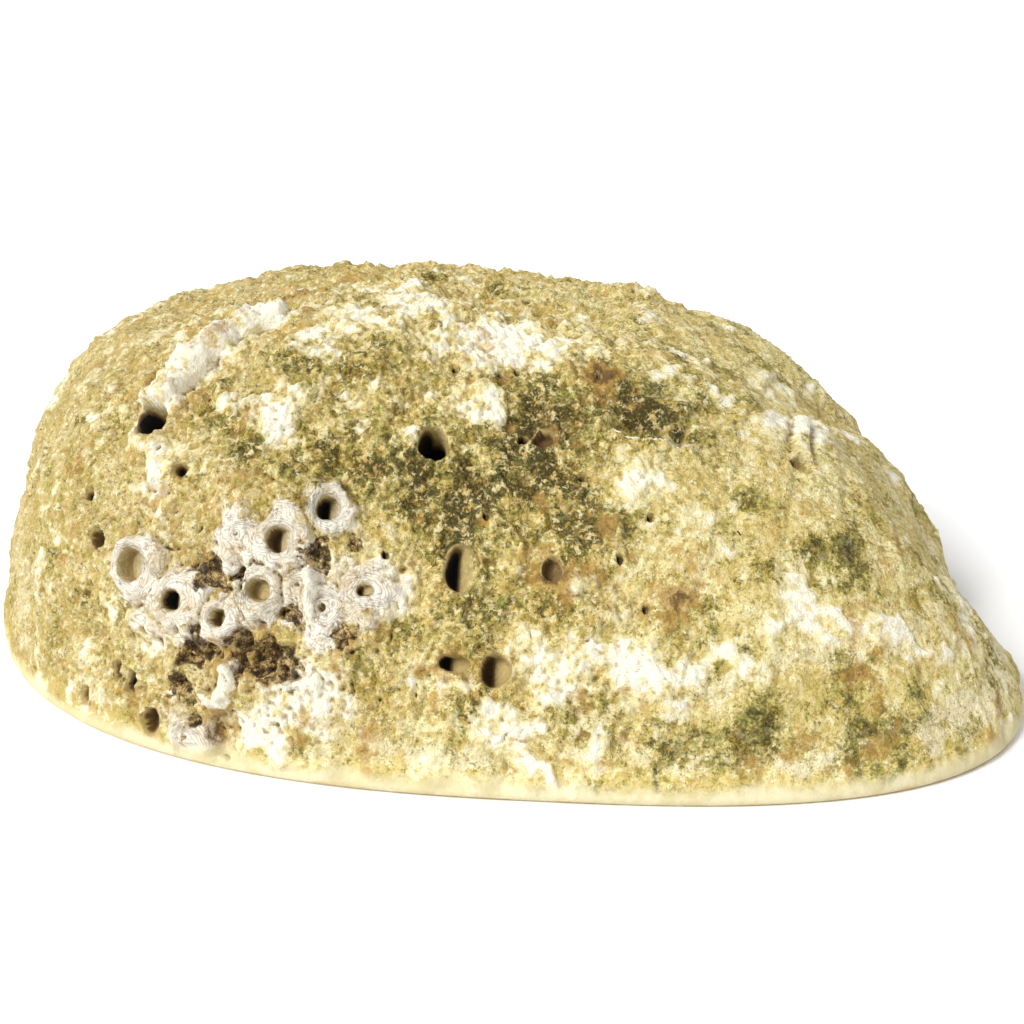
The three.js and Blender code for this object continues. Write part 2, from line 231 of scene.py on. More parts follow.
# ------------------------------------------------------------------ helpers for numbers
def smoothstep(value, low, high):
    share = np.clip((value - low) / (high - low), 0.0, 1.0)
    return share * share * (3.0 - 2.0 * share)


def gauss(distance, radius):
    return np.exp(-((distance / radius) ** 2))


def signed_power(value, power):
    return np.sign(value) * np.abs(value) ** power


EDGES = [(a, b, 0) for a in (-1, 1) for b in (-1, 1)]
GRADIENTS = np.array(
    EDGES + [(a, 0, b) for a, b, _ in EDGES] + [(0, a, b) for a, b, _ in EDGES] + EDGES,
    np.float32,
)


def lattice_hash(cell, seed):
    """A random number for each lattice point, the same in every run."""
    mixed = cell[:, 0].astype(np.uint32) * np.uint32(73856093)
    mixed ^= cell[:, 1].astype(np.uint32) * np.uint32(19349663)
    mixed ^= cell[:, 2].astype(np.uint32) * np.uint32(83492791)
    mixed ^= np.uint32((seed * 2654435761 + 12345) & 0xFFFFFFFF)
    mixed ^= mixed >> np.uint32(15)
    mixed *= np.uint32(2246822519)
    mixed ^= mixed >> np.uint32(13)
    mixed *= np.uint32(3266489917)
    return mixed ^ (mixed >> np.uint32(16))


def noise(points, size, seed=0):
    """Gradient noise in about -1..1 with features of this size, at points in mm."""
    scaled = (np.asarray(points, np.float32) / np.float32(size)) + np.float32(13.7 * seed)
    cell = np.floor(scaled)
    inside = scaled - cell
    cell = cell.astype(np.int64)
    fade = inside * inside * inside * (inside * (inside * 6 - 15) + 10)
    total = np.zeros(len(scaled), np.float32)
    for corner in np.ndindex(2, 2, 2):
        offset = np.array(corner)
        gradient = GRADIENTS[lattice_hash(cell + offset, seed) & np.uint32(15)]
        away = inside - offset.astype(np.float32)
        weight = np.prod(np.where(offset == 1, fade, 1 - fade), axis=1)
        total += weight * (gradient * away).sum(axis=1)
    return total * np.float32(1.4)


def layered(points, size, octaves, seed=0, gain=0.5):
    """Several octaves of noise, each half the size of the last."""
    total, strength = 0.0, 1.0
    for octave in range(octaves):
        total = total + strength * noise(points, size / 2**octave, seed + octave)
        strength *= gain
    return total


def ridged(points, size, octaves, seed=0):
    """Noise with sharp crests, in 0..1."""
    total, strength, most = 0.0, 1.0, 0.0
    for octave in range(octaves):
        crest = 1.0 - np.abs(noise(points, size / 2**octave, seed + octave))
        total = total + strength * crest * crest
        most += strength
        strength *= 0.5
    return total / most


# ------------------------------------------------------------------ the smooth form
def margin_points(turns):
    """Points of the margin in plan, for turns from 0 to 1 round the shell."""
    cos, sin = np.cos(2 * np.pi * turns), np.sin(2 * np.pi * turns)
    hole_side = sin < 0
    power = np.where(hole_side, 2 / HOLE_SIDE_FULLNESS, 2 / LIP_SIDE_FULLNESS)
    y = np.where(hole_side, HOLE_SIDE, LIP_SIDE) * signed_power(sin, power)
    x = HALF_LENGTH * signed_power(cos, power) + LEAN * y
    return np.stack((x, y), axis=1)


def section_powers(angle):
    """The two exponents of the dome's section, by direction from the crown."""
    shoulder = 2.6 - 0.45 * np.cos(angle) + 0.6 * np.sin(angle)
    above = 0.15 + 0.09 * np.cos(angle) - 0.38 * np.sin(angle)
    return shoulder, 0.36 + (above + np.hypot(above, 0.04)) / 2


def wall_at(angle):
    """Thickness of the shell at its margin, with the ledge of the inner lip."""
    wrapped = np.where(angle > 1.5 * np.pi, angle - 2 * np.pi, angle)
    return MARGIN_WALL + (LIP_WIDTH - MARGIN_WALL) * np.exp(-(((wrapped - 1.4) / 1.0) ** 4))


MARGIN = margin_points(np.linspace(0, 1, 4001)[:-1])
MARGIN_ANGLE = np.arctan2(MARGIN[:, 1] - CROWN[1], MARGIN[:, 0] - CROWN[0]) % (2 * np.pi)
MARGIN_REACH = np.hypot(MARGIN[:, 0] - CROWN[0], MARGIN[:, 1] - CROWN[1])
MARGIN_ORDER = np.argsort(MARGIN_ANGLE)


def reach_at(angle):
    """Distance from the crown to the margin in a direction, in plan."""
    return np.interp(
        angle % (2 * np.pi), MARGIN_ANGLE[MARGIN_ORDER], MARGIN_REACH[MARGIN_ORDER], period=2 * np.pi
    )


def plan_share(points):
    """How far out each point lies, 0 at the crown and 1 at the margin, and in which direction."""
    across, along = points[:, 0] - CROWN[0], points[:, 1] - CROWN[1]
    angle = np.arctan2(along, across) % (2 * np.pi)
    return np.hypot(across, along) / reach_at(angle), angle


def base_height(points):
    share, angle = plan_share(points)
    shoulder, slope = section_powers(angle)
    return EDGE + (HEIGHT - EDGE) * np.clip(1 - share**shoulder, 0, 1) ** slope


def base_normal(points):
    """The way that the smooth outside faces above points of the plan."""
    step = 0.05
    east, north = points.copy(), points.copy()
    east[:, 0] += step
    north[:, 1] += step
    here = base_height(points)
    slope = np.stack((here - base_height(east), here - base_height(north)), axis=1) / step
    normal = np.column_stack((slope, np.ones(len(points))))
    return normal / np.linalg.norm(normal, axis=1, keepdims=True)


def even_section(reach, height, foot, angle, rows):
    """Points down a section of the dome, evenly spaced along it, as (distance out, height)."""
    phase = np.linspace(0, np.pi / 2, 500)
    shoulder, slope = section_powers(angle)
    out = reach * np.sin(phase) ** (2 / shoulder)
    up = foot + (height - foot) * np.clip(np.cos(phase), 0, 1) ** (2 * slope)
    length = np.concatenate(([0.0], np.cumsum(np.hypot(np.diff(out), np.diff(up)))))
    at = np.linspace(0, length[-1], rows)
    return np.interp(at, length, out), np.interp(at, length, up)


def even_turns(fine, coarse):
    """Turns of the meridians, closer together on the side of the holes."""
    turns = np.linspace(0, 1, 4001)
    place = margin_points(turns)
    step = np.hypot(*np.diff(place, axis=0).T)
    facing = (place[:-1, 1] - 0.12 * place[:-1, 0] + place[1:, 1] - 0.12 * place[1:, 0]) / 2
    spacing = coarse + (fine - coarse) * (1 - smoothstep(facing, -8, 22))
    count = np.concatenate(([0.0], np.cumsum(step / spacing)))
    return np.interp(np.arange(int(count[-1])) / int(count[-1]) * count[-1], count, turns)


class Skin:
    """A closed grid of points: down the outside, round the margin, along its underside and up the
    inside, for every meridian. The first and the last row are single points."""

    def __init__(self, fine, coarse):
        turns = even_turns(fine, coarse)
        away = margin_points(turns) - CROWN
        reach = np.hypot(away[:, 0], away[:, 1])
        direction = away / reach[:, None]
        angle = np.arctan2(away[:, 1], away[:, 0]) % (2 * np.pi)
        wall = wall_at(angle)
        self.outer_rows = int(OUTER_SECTION / fine)
        inner_rows = int(INNER_SECTION / INSIDE)
        out, up = [], []
        for i in range(len(turns)):
            outer = even_section(reach[i], HEIGHT, EDGE, angle[i], self.outer_rows)
            bend = np.linspace(0, np.pi / 2, CORNER_ROWS + 1)[1:]
            corner = (reach[i] - EDGE + EDGE * np.cos(bend), EDGE - EDGE * np.sin(bend))
            under = np.linspace(reach[i] - EDGE, reach[i] - wall[i], UNDER_ROWS + 2)[1:-1]
            inner = even_section(
                reach[i] - wall[i], HEIGHT - CROWN_WALL, 0.0, angle[i], inner_rows)
            out.append(np.concatenate((outer[0], corner[0], under, inner[0][::-1])))
            up.append(np.concatenate((outer[1], corner[1], 0 * under, inner[1][::-1])))
        out, up = np.array(out), np.array(up)
        self.columns, self.rows = out.shape
        plan = CROWN + direction[:, None, :] * out[:, :, None]
        self.points = np.dstack((plan, up[:, :, None]))
        self.share = out / reach[:, None]
        self.inside_from = self.outer_rows + CORNER_ROWS + 4
        self.lip_rows = slice(self.outer_rows + CORNER_ROWS, self.outer_rows + CORNER_ROWS + UNDER_ROWS)

    def sector(self, number):
        """One slice of the skin between two meridians, closed by a wall along each of them, as
        (points, faces as lists of point numbers, row of each face or -1 for the walls)."""
        first = self.columns * number // SECTORS
        last = self.columns * (number + 1) // SECTORS
        body = self.points[np.arange(first, last + 1) % self.columns, 1:-1]
        columns, rows = body.shape[:2]
        crown, pit = columns * rows, columns * rows + 1
        points = np.concatenate((body.reshape(-1, 3), [self.points[0, 0], self.points[0, -1]]))
        here = (np.arange(columns - 1)[:, None] * rows + np.arange(rows - 1)).ravel()
        quads = np.stack((here, here + 1, here + rows + 1, here + rows), axis=1)
        faces = quads.tolist()
        face_rows = (here % rows + 1).tolist()
        for column in range(columns - 1):
            start, after = column * rows, (column + 1) * rows
            faces += [[crown, start, after], [pit, after + rows - 1, start + rows - 1]]
            face_rows += [0, self.rows]
        first_wall = [crown, *range(rows), pit]
        last_wall = [crown, *range((columns - 1) * rows, columns * rows), pit]
        faces += [first_wall[::-1], last_wall]
        return points, faces, face_rows + [-1, -1]


# ------------------------------------------------------------------ places in three dimensions
class Place:
    """A point of the outside with its normal, and the two directions across the surface there."""

    def __init__(self, at):
        plan = np.array([(*at, 0.0)])
        self.centre = np.array((*at, base_height(plan)[0]))
        self.normal = base_normal(plan)[0]
        level = np.array((1.0, 0.0, 0.0))
        level -= self.normal * level.dot(self.normal)
        self.level = level / np.linalg.norm(level)
        self.upward = np.cross(self.normal, self.level)

    def near(self, points, radius):
        """Indices of the points within this distance, and their two coordinates across."""
        away = points - self.centre
        chosen = np.flatnonzero((away**2).sum(axis=1) < radius * radius)
        return chosen, away[chosen] @ self.level, away[chosen] @ self.upward


def wobble(across, along, strength, seed):
    """A factor near 1 that makes a round outline irregular."""
    angle = np.arctan2(along, across)
    return 1 + strength * (np.sin(2 * angle + seed) + 0.7 * np.sin(3 * angle + 2.3 * seed))


# ------------------------------------------------------------------ relief of the outside
def spire_relief(points):
    """The swelling of the whorls round the apex, which fades out beyond the last suture."""
    across, along = points[:, 0] - APEX[0], points[:, 1] - APEX[1]
    distance = np.maximum(0.5, np.hypot(across, along))
    clockwise = (np.arctan2(across, along) / (2 * np.pi)) % 1
    turns = np.log(distance / SUTURE_REACH) / math.log(WHORL_GROWTH) - clockwise
    between = turns - np.floor(turns)
    whorl = np.sin(np.pi * between) ** 0.7 - 0.6
    fade = 1 - smoothstep(distance, 0.9 * SUTURE_REACH, 1.4 * SUTURE_REACH)
    return WHORL_SWELL * whorl * fade * np.minimum(1, distance / 8)


def broad_relief(points):
    """The worn dome's departures from its smooth section, a few centimetres wide."""
    relief = np.full(len(points), -0.35, np.float32)
    for x, y, radius, height in SWELLS:
        away = np.hypot(points[:, 0] - x, points[:, 1] - y)
        relief += height * gauss(away, radius)
    return relief * smoothstep(points[:, 2], 2, 10)


def cluster_share(points):
    """1 on the crusty front flank where the worms lived, 0 elsewhere."""
    away = np.hypot((points[:, 0] + 26) / 21, (points[:, 2] - 16) / 15)
    side = 1 - smoothstep(points[:, 1], -24, -16)
    return side * (1 - smoothstep(away + 0.25 * noise(points, 7, 31), 0.6, 1.15))


def crusty_share(points):
    """Where the outside is rough with old crust: the middle and the front, not the hind flank."""
    toward_front = 1 - smoothstep(points[:, 0] + 7 * noise(points, 14, 3), 14, 34)
    low = smoothstep(points[:, 2] + 3 * noise(points, 9, 5), 3, 9)
    far_front = 1 - smoothstep(points[:, 0], -44, -58)
    return np.clip(toward_front * low * (0.35 + 0.65 * far_front) + 0.22, 0, 1)


def tube_field(points):
    """For each point the distance from the nearest worm tube's bore, less the bore, in units where
    the tube's wall ends at 1, and how high that tube stands."""
    reach = np.full(len(points), 9.0, np.float32)
    rise = np.zeros(len(points), np.float32)
    for number, tube in enumerate(TUBES.values()):
        place = Place(tube.at)
        chosen, across, along = place.near(points, 2.2 * tube.wall + 2)
        bore = (tube.across + tube.along) / 2
        outline = wobble(across, along, 0.07, number)
        distance = (np.hypot(across, along) * outline - bore) / (tube.wall - bore)
        ragged = 0.5 * noise(points[chosen], 3.6, 40) + 0.2 * noise(points[chosen], 1.4, 41)
        distance += ragged * smoothstep(distance, 0.0, 0.4)
        nearer = distance < reach[chosen]
        reach[chosen[nearer]] = distance[nearer]
        rise[chosen[nearer]] = tube.rise
    return reach, rise


def tube_relief(points):
    """The worm tubes: steep lobed walls built up from thin layers."""
    reach, rise = tube_field(points)
    mound = rise * (1 - smoothstep(reach, 0.45, 1.25)) * (1 - 0.35 * smoothstep(reach, 0.0, -0.7))
    layer_count = 7.0
    drift = reach * layer_count + 0.8 * noise(points, 3.0, 44)
    layer = drift - np.floor(drift)
    steps = (1 - layer) * 0.20 + 0.07 * np.sin(2 * np.pi * drift * 2.3)
    return mound + steps * (1 - smoothstep(reach, 0.9, 1.4)) * (reach < 8)


def lip_relief(points):
    """Curved lips: what is left of broken tubes, uneven in height and thickness."""
    relief = np.zeros(len(points), np.float32)
    for number, (at, radius, first, last, half_width) in enumerate(LIPS):
        place = Place(at)
        chosen, across, along = place.near(points, radius + 3)
        angle = np.degrees(np.arctan2(along, across))
        middle = (first + last) / 2
        turned = np.abs((angle - middle + 180) % 360 - 180)
        ends = 1 - smoothstep(turned, (last - first) / 2 - 45, (last - first) / 2)
        uneven = 1 + 0.5 * noise(points[chosen], 1.6, 61)
        outline = radius * wobble(across, along, 0.09, number) * (1 + 0.12 * noise(points[chosen], 2, 62))
        off = np.abs(np.hypot(across, along) - outline) / half_width
        crest = ends * uneven * (1 - smoothstep(off, 0.2, 1.9))
        relief[chosen] = np.maximum(relief[chosen], 1.3 * crest)
    return relief


def shelf_frame(points):
    """Points near the shelf, how far behind its curved edge they lie, and how far in its length."""
    place = Place(SHELF["at"])
    chosen, across, along = place.near(points, 12)
    left = np.clip(0.5 - 0.5 * across / SHELF["across"], 0, 1)
    curve = SHELF["drop"] * left**2.2 + SHELF["lift"] * (1 - left) ** 1.5 - 1.3
    edge = along - curve + 0.25 * noise(points[chosen], 1.8, 63)
    ends = 1 - smoothstep(np.abs(across), 0.7 * SHELF["across"], SHELF["across"])
    return chosen, edge, ends


def shelf_relief(points):
    """The sealed hole: its near edge is a sharp shelf that stands above the hollow behind it."""
    chosen, edge, ends = shelf_frame(points)
    near_side = 1 - smoothstep(edge, -0.3, 0.1)
    raised = SHELF["rise"] * near_side * np.exp(np.minimum(edge, 0) / 3.2)
    hollow = SHELF["depth"] * (1 - near_side) * gauss(edge, 2.6)
    relief = np.zeros(len(points), np.float32)
    relief[chosen] = ends * (raised - hollow)
    return relief


def ridge_distance(points, route):
    """Distance from a smooth route over the outside, and how far along it, 0 to 1."""
    t = np.linspace(0, 1, 24)[:, None]
    first, middle, last = (np.array(p) for p in route)
    plan = (1 - t) ** 2 * first + 2 * t * (1 - t) * (2 * middle - (first + last) / 2) + t**2 * last
    curve = np.column_stack((plan, base_height(np.column_stack((plan, plan[:, :1])))))
    best = np.full(len(points), 99.0, np.float32)
    along = np.zeros(len(points), np.float32)
    for i, spot in enumerate(curve):
        away = np.sqrt(((points - spot) ** 2).sum(axis=1))
        nearer = away < best
        best[nearer] = away[nearer]
        along[nearer] = i / (len(curve) - 1)
    return best, along


def ridge_relief(points):
    """The tubes that lie along the surface, half round, with a furrow beside them."""
    relief = np.zeros(len(points), np.float32)
    for number, (route, radius) in enumerate(RIDGES):
        centre = np.array((*route[1], base_height(np.array([(*route[1], 0.0)]))[0]))
        near = np.flatnonzero(((points - centre) ** 2).sum(axis=1) < 20**2)
        distance, along = ridge_distance(points[near], route)
        thick = radius * (0.75 + 0.25 * along) * (1 + 0.12 * noise(points[near], 3, 60 + number))
        round_back = np.sqrt(np.clip(1 - (distance / thick) ** 2, 0, 1))
        furrow = 0.5 * gauss(distance - 1.45 * thick, 0.5 * thick)
        relief[near] += 0.85 * thick * round_back - furrow * (thick > 1)
    return relief


def bore_relief(points, surface):
    """Cuts the bores into the surface so far and raises their rims."""
    cut = surface.copy()
    for number, bore in enumerate(ALL_BORES):
        place = Place(bore.at)
        chosen, across, along = place.near(points, 3.2 * max(bore.across, bore.along) + 1)
        outline = wobble(across, along, 0.06, 1.7 * number)
        radius = np.hypot(across / bore.across, along / bore.along) * outline
        mouth = 1 - smoothstep(radius, 0.78, 1.04)
        ramp = 1 - bore.ramp * smoothstep(across / bore.across, -0.85, 0.95)
        level = np.median(surface[chosen[radius < 1.3]]) if (radius < 1.3).any() else 0.0
        rim_width = 0.30 + 0.25 / max(bore.across, 0.8)
        raised = cut[chosen] + bore.rim * gauss(radius - 1.22, rim_width)
        floor = level - bore.depth * ramp
        cut[chosen] = raised * (1 - mouth) + np.minimum(raised, floor) * mouth
    return cut


def gap_relief(points):
    """Dark gaps between the tubes, ragged at their edges."""
    relief = np.zeros(len(points), np.float32)
    for at, radius, depth in GAPS:
        place = Place(at)
        chosen, across, along = place.near(points, 2.2 * radius)
        ragged = np.hypot(across, along) / radius + 0.8 * layered(points[chosen], 2.6, 2, 51)
        there = 1 - smoothstep(ragged, 0.3, 1.1)
        crumbs = np.abs(noise(points[chosen], 1.5, 52)) + 0.5 * np.abs(noise(points[chosen], 0.8, 53))
        floor = -there * (0.55 * depth + 0.9 - 1.5 * crumbs)
        relief[chosen] = np.where(np.abs(floor) > np.abs(relief[chosen]), floor, relief[chosen])
    return relief


def crack_relief(points):
    """Narrow cracks and worm-eaten channels in the crust."""
    crest = ridged(points, 5.5, 2, 71)
    where = smoothstep(noise(points, 11, 73), 0.0, 0.45)
    return -0.55 * smoothstep(crest, 0.86, 0.97) * where


def growth_lines(points):
    """Fine lines parallel to the growing edge, with a coarser step now and then."""
    across, along = points[:, 0] - APEX[0], points[:, 1] - APEX[1]
    clockwise = np.unwrap(np.arctan2(across, -along))
    bent = FLANK * clockwise + 1.1 * noise(points, 10, 81) + 0.35 * noise(points, 3, 82)
    fine = np.sin(2 * np.pi * bent / 1.15) * 0.6 + np.sin(2 * np.pi * bent / 0.55 + 1) * 0.4
    step = (bent / 9.0) - np.floor(bent / 9.0)
    return 0.055 * fine + 0.32 * (step - 0.5) * smoothstep(step, 0, 0.08)


def spiral_cords(points, share):
    """Low cords that run along the whorl, parallel to the margin."""
    bent = share * FLANK + 1.3 * noise(points, 13, 91) + 0.5 * noise(points, 4, 92)
    return 0.17 * np.sin(2 * np.pi * bent / 4.4) + 0.08 * np.sin(2 * np.pi * bent / 1.9 + 2)


def cover_share(points, kind, seed):
    """How much of a kind of cover lies at each point, as a soft amount that a material sharpens."""
    amount = 0.42 * layered(points, 9, 2, seed) + 0.42 * layered(points, 3.2, 2, seed + 5, 0.6)
    for x, y, radius, strength in COVER[kind]:
        away = np.sqrt(((points - Place((x, y)).centre) ** 2).sum(axis=1))
        amount += strength * gauss(away, radius)
    return amount


def plaque_relief(chalk):
    """Chalky crust stands a little proud of the rest, with a steep edge."""
    return 0.28 * smoothstep(chalk, 0.42, 0.55) + 0.15 * smoothstep(chalk, 0.75, 0.9)


def crust_relief(points, crusty):
    """Lumps and grains of old crust, from a centimetre down to half a millimetre."""
    lumps = 0.8 * layered(points, 8.5, 2, 111) - 0.15
    scabs = smoothstep(layered(points, 4.2, 3, 115, 0.6), -0.15, 0.35) - 0.5
    grains = 0.17 * noise(points, 1.5, 119) + 0.2 * noise(points, 0.8, 120)
    return lumps * (0.45 + 0.55 * crusty) + crusty * (0.55 * scabs + 1.5 * grains) + 0.25 * grains


def margin_waves(points):
    """How deep the worn waves of the margin are, on the side with the holes."""
    x, end = points[:, 0], SCALLOPS["end"]
    within = smoothstep(x, SCALLOPS["start"], SCALLOPS["start"] + 2) * (1 - smoothstep(x, end - 2, end))
    within = within * (points[:, 1] < 0) * (1 - smoothstep(points[:, 2], 1.5, 6))
    wave = 0.5 - 0.5 * np.cos(2 * np.pi * (x - SCALLOPS["start"]) / SCALLOPS["pitch"])
    return SCALLOPS["depth"] * within * wave


def notch_relief(points):
    """Chips in the margin, as a move along the normal."""
    relief = np.zeros(len(points), np.float32)
    for at, width, depth in NOTCHES:
        place = Place(at)
        chosen, across, along = place.near(points, 7)
        relief[chosen] -= depth * gauss(across, width) * gauss(along, 3.0)
    return relief


def outer_relief(points, share):
    """Height of the real outside above the smooth form, in mm."""
    # The last millimetres above the margin are a smooth band.
    band = 0.12 + 0.88 * smoothstep(points[:, 2] + 0.5 * noise(points, 5, 141), 1.2, 3.6)
    crusty = crusty_share(points)
    cluster = cluster_share(points)
    reach, _ = tube_field(points)
    in_tube = 1 - smoothstep(reach, 0.9, 1.3)
    rough = crust_relief(points, crusty) * (1 - 0.75 * in_tube)
    lines = growth_lines(points) + spiral_cords(points, share) * (1 - 0.6 * crusty)
    surface = spire_relief(points) + broad_relief(points) + rough + lines * (1 - 0.8 * in_tube)
    surface += plaque_relief(cover_share(points, "chalk", 101)) * (1 - in_tube)
    surface += cluster * 0.3 * (1 + 1.2 * noise(points, 4, 131))
    surface += tube_relief(points) + ridge_relief(points) + shelf_relief(points)
    surface += gap_relief(points) + crack_relief(points) * crusty * (1 - in_tube)
    surface = np.maximum(surface, surface + lip_relief(points))
    surface = bore_relief(points, surface)
    return surface * band + notch_relief(points) - margin_waves(points)


def grid_normals(points):
    """Normals of a grid of points that closes on itself from column to column."""
    along = np.roll(points, -1, axis=0) - np.roll(points, 1, axis=0)
    down = np.gradient(points, axis=1)
    normal = np.cross(down, along)
    return normal / np.maximum(np.linalg.norm(normal, axis=2, keepdims=True), 1e-9)


def inner_relief(points):
    """The nacre follows the dents of the dome and has a rough muscle scar in its middle."""
    waves = 0.35 * noise(points, 16, 201) + 0.12 * noise(points, 6, 202)
    scar = np.hypot((points[:, 0] - 4) / 17, (points[:, 1] - 2) / 13) + 0.12 * noise(points, 6, 203)
    edge = gauss(scar - 1.0, 0.09)
    rough = (1 - smoothstep(scar, 0.85, 1.0)) * 0.10 * noise(points, 1.6, 204)
    dented = -np.minimum(broad_relief(points), 0)
    return waves + 0.35 * edge + rough + dented


def shape_skin(skin):
    """Gives the skin its relief, outside and inside."""
    outer = slice(0, skin.outer_rows)
    normal = grid_normals(skin.points)
    points, facing = skin.points[:, outer], normal[:, outer]
    crown = facing[:, 1].mean(axis=0)
    facing[:, 0] = crown / np.linalg.norm(crown)
    flat = points.reshape(-1, 3)
    relief = outer_relief(flat, skin.share[:, outer].ravel())
    relief = relief.reshape(points.shape[:2])
    relief[:, 0] = relief[:, 0].mean()
    moved = points + facing * relief[:, :, None]
    inner = slice(skin.lip_rows.stop, skin.rows)
    hollow, inward = skin.points[:, inner].copy(), normal[:, inner]
    inward[:, -1] = (0, 0, -1)
    depth = inner_relief(hollow.reshape(-1, 3)).reshape(hollow.shape[:2])
    depth *= smoothstep(hollow[:, :, 2], 0.3, 6)
    depth[:, -1] = depth[:, -1].mean()
    skin.points[:, outer] = moved
    # The round corner below the outside follows its last row.
    shift = moved[:, -1] - points[:, -1]
    corner = slice(skin.outer_rows, skin.lip_rows.start)
    fading = np.linspace(1, 0.2, skin.lip_rows.start - skin.outer_rows)[None, :, None]
    skin.points[:, corner] += shift[:, None, :] * fading
    skin.points[:, inner] = hollow + inward * depth[:, :, None]
    skin.points[:, :, 2] = np.maximum(skin.points[:, :, 2], 0.0)


# ------------------------------------------------------------------ meshes
def new_mesh(name, points_mm, faces):
    """A mesh in metres from points in mm and faces of any size."""
    mesh = bpy.data.meshes.new(name)
    sizes = np.array([len(face) for face in faces], np.int32)
    loops = np.fromiter((i for face in faces for i in face), np.int32, int(sizes.sum()))
    mesh.vertices.add(len(points_mm))
    mesh.vertices.foreach_set("co", ((points_mm - MIDDLE) * MM).astype(np.float32).ravel())
    mesh.loops.add(len(loops))
    mesh.loops.foreach_set("vertex_index", loops)
    mesh.polygons.add(len(sizes))
    starts = np.concatenate(([0], np.cumsum(sizes)[:-1])).astype(np.int32)
    mesh.polygons.foreach_set("loop_start", starts)
    mesh.update(calc_edges=True)
    return mesh


def link_piece(name, mesh):
    piece = bpy.data.objects.new(name, mesh)
    bpy.context.scene.collection.objects.link(piece)
    return piece


def vertex_points(mesh):
    found = np.empty(len(mesh.vertices) * 3, np.float32)
    mesh.vertices.foreach_get("co", found)
    return found.reshape(-1, 3) / MM + MIDDLE


def vertex_normals(mesh):
    found = np.empty(len(mesh.vertices) * 3, np.float32)
    mesh.vertices.foreach_get("normal", found)
    return found.reshape(-1, 3)


def apply_modifiers(piece):
    graph = bpy.context.evaluated_depsgraph_get()
    made = bpy.data.meshes.new_from_object(piece.evaluated_get(graph), depsgraph=graph)
    old = piece.data
    piece.modifiers.clear()
    piece.data = made
    bpy.data.meshes.remove(old)


def hole_cutter(bore):
    """A round bar through the shell from just below the mouth of a bore."""
    place = Place(bore.at)
    sides = 28
    narrow = 0.75  # so that the bar leaves the bore's own walls alone
    length = 12.0  # more than the wall
    start = 1.5  # below the smooth outside
    angle = np.linspace(0, 2 * np.pi, sides, endpoint=False)
    ring = (
        np.outer(np.cos(angle) * bore.across * narrow, place.level)
        + np.outer(np.sin(angle) * bore.along * narrow, place.upward)
    )
    low = place.centre - place.normal * length + ring
    high = place.centre - place.normal * start + ring
    faces = [list(range(sides))[::-1], list(range(sides, 2 * sides))]
    faces += [[i, (i + 1) % sides, (i + 1) % sides + sides, i + sides] for i in range(sides)]
    return link_piece("cutter", new_mesh("cutter", np.concatenate((low, high)), faces))


def cut_through(piece, bore, crust):
    """Opens a bore through the wall, if it lies in this piece."""
    away = np.linalg.norm(vertex_points(piece.data) - Place(bore.at).centre, axis=1)
    if away.min() > 8:
        return
    cutter = hole_cutter(bore)
    cutter.data.materials.append(crust)
    cut = piece.modifiers.new("through", "BOOLEAN")
    cut.operation = "DIFFERENCE"
    cut.solver = "MANIFOLD"
    cut.object = cutter
    apply_modifiers(piece)
    bpy.data.objects.remove(cutter)


def hide_seams(mesh, skin, normals, number):
    """Gives the points on the cuts between the pieces the normals of the whole skin."""
    cuts = [skin.columns * n // SECTORS % skin.columns for n in (number, number + 1)]
    wanted = normals[cuts].reshape(-1, 3)
    places = skin.points[cuts].reshape(-1, 3)
    found = KDTree(len(mesh.vertices))
    for index, point in enumerate(vertex_points(mesh)):
        found.insert(point, index)
    found.balance()
    facing = vertex_normals(mesh)
    for point, normal in zip(places, wanted):
        _, index, distance = found.find(point)
        if distance < 0.01:
            facing[index] = normal
    mesh.normals_split_custom_set_from_vertices(facing)


def make_shell(crust, nacre):
    skin = Skin(FINE, COARSE)
    shape_skin(skin)
    normals = grid_normals(skin.points)
    normals[:, 0], normals[:, -1] = (0, 0, 1), (0, 0, -1)
    pieces = []
    for number in range(SECTORS):
        points, faces, face_rows = skin.sector(number)
        mesh = new_mesh(f"shell_sector_{number + 1}", points, faces)
        mesh.materials.append(crust)
        mesh.materials.append(nacre)
        face_rows = np.array(face_rows)
        mesh.polygons.foreach_set("material_index", (face_rows >= skin.inside_from).astype(np.int32))
        # The walls between the pieces are flat, so that they leave the skin's normals alone.
        mesh.polygons.foreach_set("use_smooth", face_rows >= 0)
        piece = link_piece(f"shell_sector_{number + 1}", mesh)
        for name in ("open_hole", "front_hole"):
            cut_through(piece, BORES[name], crust)
        hide_seams(piece.data, skin, normals, number)
        describe_outside(piece.data)
        pieces.append(piece)
    return pieces


# ------------------------------------------------------------------ what the materials need to know
def neighbour_mean(values, edges, rounds):
    """Values of a mesh's points, averaged over their neighbours a few times."""
    first, second = edges[:, 0], edges[:, 1]
    count = np.bincount(edges.ravel(), minlength=len(values))[:, None].clip(1)
    for _ in range(rounds):
        total = np.empty_like(values)
        for axis in range(values.shape[1]):
            total[:, axis] = np.bincount(first, values[second, axis], len(values))
            total[:, axis] += np.bincount(second, values[first, axis], len(values))
        values = total / count
    return values


def hollowness(mesh, rounds):
    """How far each point lies below its surroundings, in mm."""
    edges = np.empty(len(mesh.edges) * 2, np.int32)
    mesh.edges.foreach_get("vertices", edges)
    points = vertex_points(mesh).astype(np.float64)
    mean = neighbour_mean(points, edges.reshape(-1, 2), rounds)
    return ((mean - points) * vertex_normals(mesh)).sum(axis=1)


